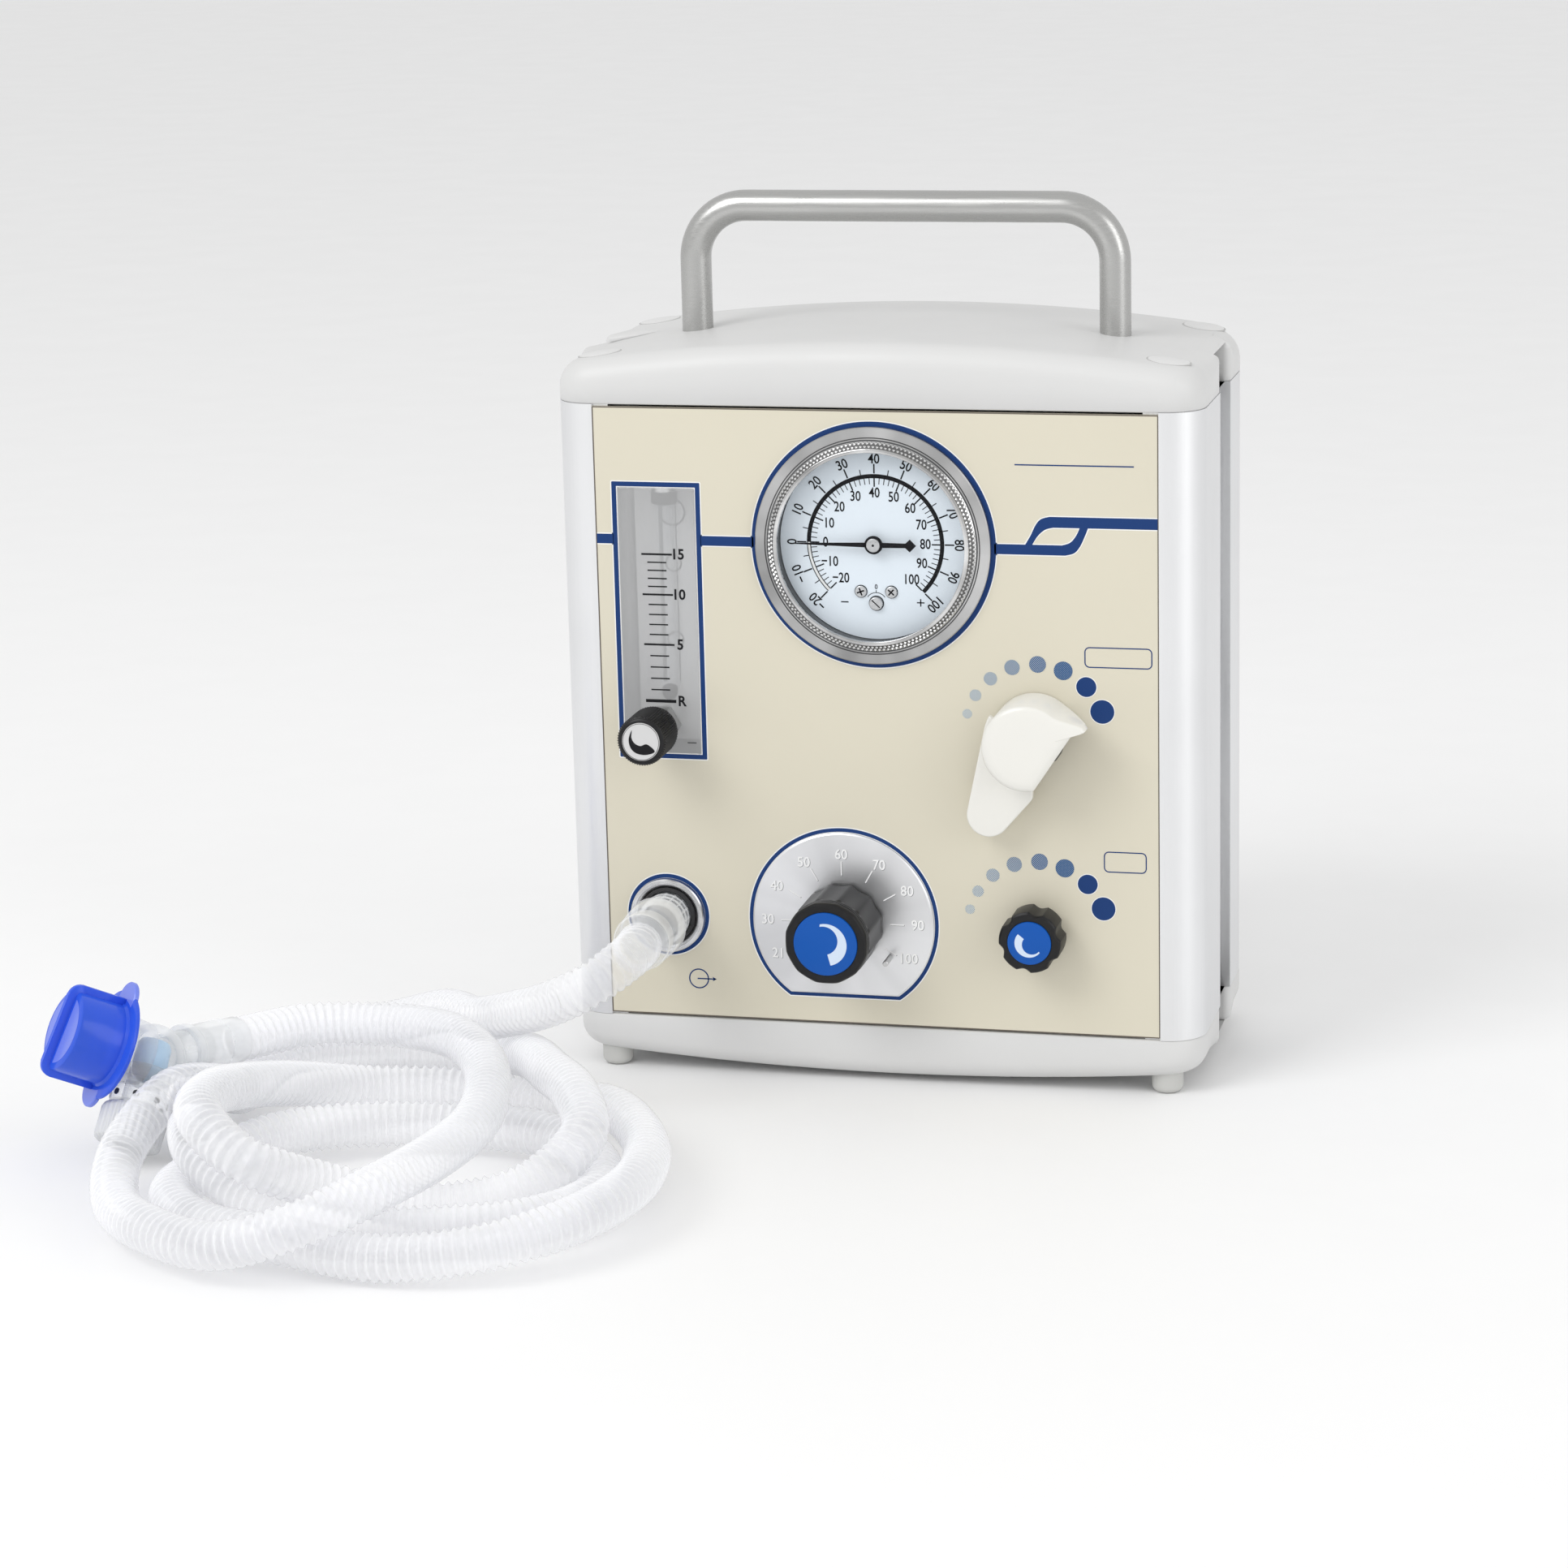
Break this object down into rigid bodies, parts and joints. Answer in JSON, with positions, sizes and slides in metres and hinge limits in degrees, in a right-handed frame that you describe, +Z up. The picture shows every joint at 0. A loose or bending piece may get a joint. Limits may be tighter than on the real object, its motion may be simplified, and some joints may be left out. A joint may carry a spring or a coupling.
{
  "type": "mechanical ventilator",
  "caption": "Compact pneumatic infant ventilator: extruded case with carry handle, pressure gauge, flow meter, oxygen and pressure knobs, gas inlets and a patient hose ending in a T-piece.",
  "frame": {"origin": "on the surface that the four feet stand on, under the middle of the enclosure", "axes": "+Z up, -Y out of the front panel, +X to the right seen from the front"},
  "size_m": [0.3426, 0.3471, 0.281],
  "materials": {
    "cap_plastic": "satin moulded plastic",
    "anodised_profile": "satin anodised extrusion",
    "panel_paint": "smooth cream enamel with printed scales",
    "rear_paint": "satin grey enamel",
    "polished_steel": "polished stainless rod",
    "zinc_steel": "zinc-plated steel",
    "chrome_ring": "bright plating",
    "plug_plastic": "satin white plastic",
    "foot_rubber": "light grey rubber",
    "case_steel": "grey enamel",
    "window_glass": "clear glass",
    "dial_print": "light blue dial with printed scales",
    "needle_black": "matt black",
    "brass_fitting": "machined brass",
    "clear_acrylic": "grey-tinted clear acrylic",
    "black_acetal": "black moulded plastic",
    "blue_disc": "blue printed disc",
    "silver_disc": "silver printed disc",
    "scale_aluminium": "satin anodised plate with engraved scale",
    "machined_aluminium": "machined aluminium",
    "cover_plastic": "glossy ivory plastic",
    "seal_rubber": "black rubber",
    "clear_connector": "frosted clear plastic",
    "clear_hose": "clear corrugated tube",
    "clear_tee": "clear moulded plastic",
    "blue_cap": "translucent blue plastic",
    "grey_cap": "grey moulded plastic"
  },
  "bodies": {
    "root": {"top_cap": "cap_plastic", "bottom_cap": "cap_plastic", "left_profile": "anodised_profile", "right_profile": "anodised_profile", "front_panel": "panel_paint", "rear_panel": "rear_paint", "handle": "polished_steel", "handle_nuts": "zinc_steel", "screw_plugs": "plug_plastic", "tie_screws": "zinc_steel", "feet": "foot_rubber", "gauge_flange": "zinc_steel", "gauge_bezel": "chrome_ring", "gauge_case": "case_steel", "gauge_window": "window_glass", "gauge_dial": "dial_print", "dial_screws": "zinc_steel", "gauge_movement": "brass_fitting", "gauge_stem": "brass_fitting", "flow_block": "clear_acrylic", "flow_tube_plug": "black_acetal", "flow_fittings": "brass_fitting", "flow_cartridge": "zinc_steel", "scale_plate": "scale_aluminium", "stop_pin": "zinc_steel", "blender_body": "machined_aluminium", "valve_nuts": "zinc_steel", "maxp_valve": "machined_aluminium", "cover_pin": "zinc_steel", "pip_valve": "machined_aluminium", "outlet_bezel": "chrome_ring", "outlet_seal": "seal_rubber", "outlet_port": "machined_aluminium", "manifold": "machined_aluminium", "manifold_posts": "zinc_steel", "riser_tubes": "zinc_steel", "oxygen_inlet": "brass_fitting", "air_inlet": "brass_fitting", "hose_connector": "clear_connector", "hose": "clear_hose", "hose_cuff": "clear_connector", "t_piece": "clear_tee"},
    "needle": {"gauge_needle": "needle_black"},
    "zero_adjuster": {"zero_screw": "zinc_steel"},
    "flow_float": {"flow_float": "black_acetal"},
    "flow_control": {"flow_spindle": "zinc_steel", "flow_knob": "black_acetal", "flow_knob_disc": "silver_disc"},
    "fio2_control": {"fio2_spindle": "zinc_steel", "fio2_knob": "black_acetal", "fio2_knob_disc": "blue_disc"},
    "maxp_control": {"maxp_spindle": "zinc_steel", "maxp_knob": "black_acetal", "maxp_knob_disc": "blue_disc"},
    "pip_control": {"pip_spindle": "zinc_steel", "pip_knob": "black_acetal", "pip_knob_disc": "blue_disc"},
    "maxp_cover": {"maxp_cover": "cover_plastic"},
    "patient_cap": {"patient_cap": "blue_cap"},
    "peep_cap": {"peep_cap": "grey_cap"}
  },
  "joints": [
    {"name": "needle_swing", "type": "hinge", "parent": "root", "child": "needle", "pos_m": [0, -0.0507, 0.1763], "axis": [0, 1, 0], "range_deg": [-45, 225], "stiffness_Nm_per_rad": 0.0004},
    {"name": "zero_screw_turn", "type": "hinge", "parent": "root", "child": "zero_adjuster", "pos_m": [0, -0.0485, 0.1572], "axis": [0, 1, 0], "range_deg": [-25, 25]},
    {"name": "float_rise", "type": "slide", "parent": "root", "child": "flow_float", "axis": [0, 0, 1], "range_m": [0, 0.058]},
    {"name": "flow_knob_turn", "type": "hinge", "parent": "root", "child": "flow_control", "pos_m": [-0.07, -0.07, 0.117], "axis": [0, 1, 0], "range_deg": [-1800, 0]},
    {"name": "fio2_knob_turn", "type": "hinge", "parent": "root", "child": "fio2_control", "pos_m": [-0.012, -0.065, 0.0535], "axis": [0, 1, 0], "range_deg": [0, 237]},
    {"name": "maxp_knob_turn", "type": "hinge", "parent": "root", "child": "maxp_control", "pos_m": [0.051, -0.06, 0.1172], "axis": [0, 1, 0], "range_deg": [-360, 360]},
    {"name": "pip_knob_turn", "type": "hinge", "parent": "root", "child": "pip_control", "pos_m": [0.051, -0.06, 0.0535], "axis": [0, 1, 0], "range_deg": [-720, 720]},
    {"name": "maxp_cover_swing", "type": "hinge", "parent": "root", "child": "maxp_cover", "pos_m": [0.0372, -0.056, 0.0927], "axis": [0, 1, 0], "range_deg": [-100, 0]},
    {"name": "patient_cap_pull", "type": "slide", "parent": "root", "child": "patient_cap", "axis": [-0.6778, -0.5887, 0.4405], "range_m": [0, 0.03]},
    {"name": "peep_cap_turn", "type": "hinge", "parent": "root", "child": "peep_cap", "pos_m": [-0.209, -0.153, 0.03], "axis": [-0.1003, -0.6018, -0.7923], "range_deg": [-135, 135]}
  ]
}
